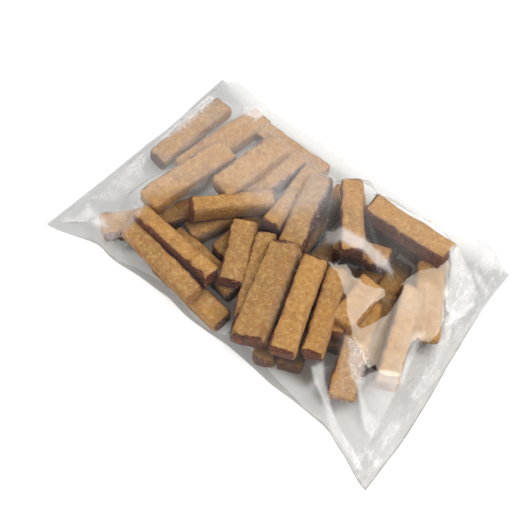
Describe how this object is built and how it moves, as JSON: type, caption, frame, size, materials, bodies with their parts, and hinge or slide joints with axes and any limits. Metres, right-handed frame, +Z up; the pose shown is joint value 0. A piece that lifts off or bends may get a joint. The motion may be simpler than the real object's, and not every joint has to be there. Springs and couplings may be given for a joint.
{
  "type": "bag of french toast sticks",
  "caption": "Clear sealed film bag, lying flat, loosely filled with golden french toast sticks that lie heaped across each other.",
  "frame": {"origin": "on the table, under the middle of the bag's outline", "axes": "+X runs along the bag from one end seal to the other, the longest extent; +Y runs across it; +Z is up, the shortest extent"},
  "size_m": [0.447, 0.284, 0.0683],
  "materials": {
    "film": "clear, slightly milky, crumpled film",
    "toast": "fried bread crust, mottled golden brown"
  },
  "bodies": {
    "root": {"bag": "film"}
  },
  "joints": []
}
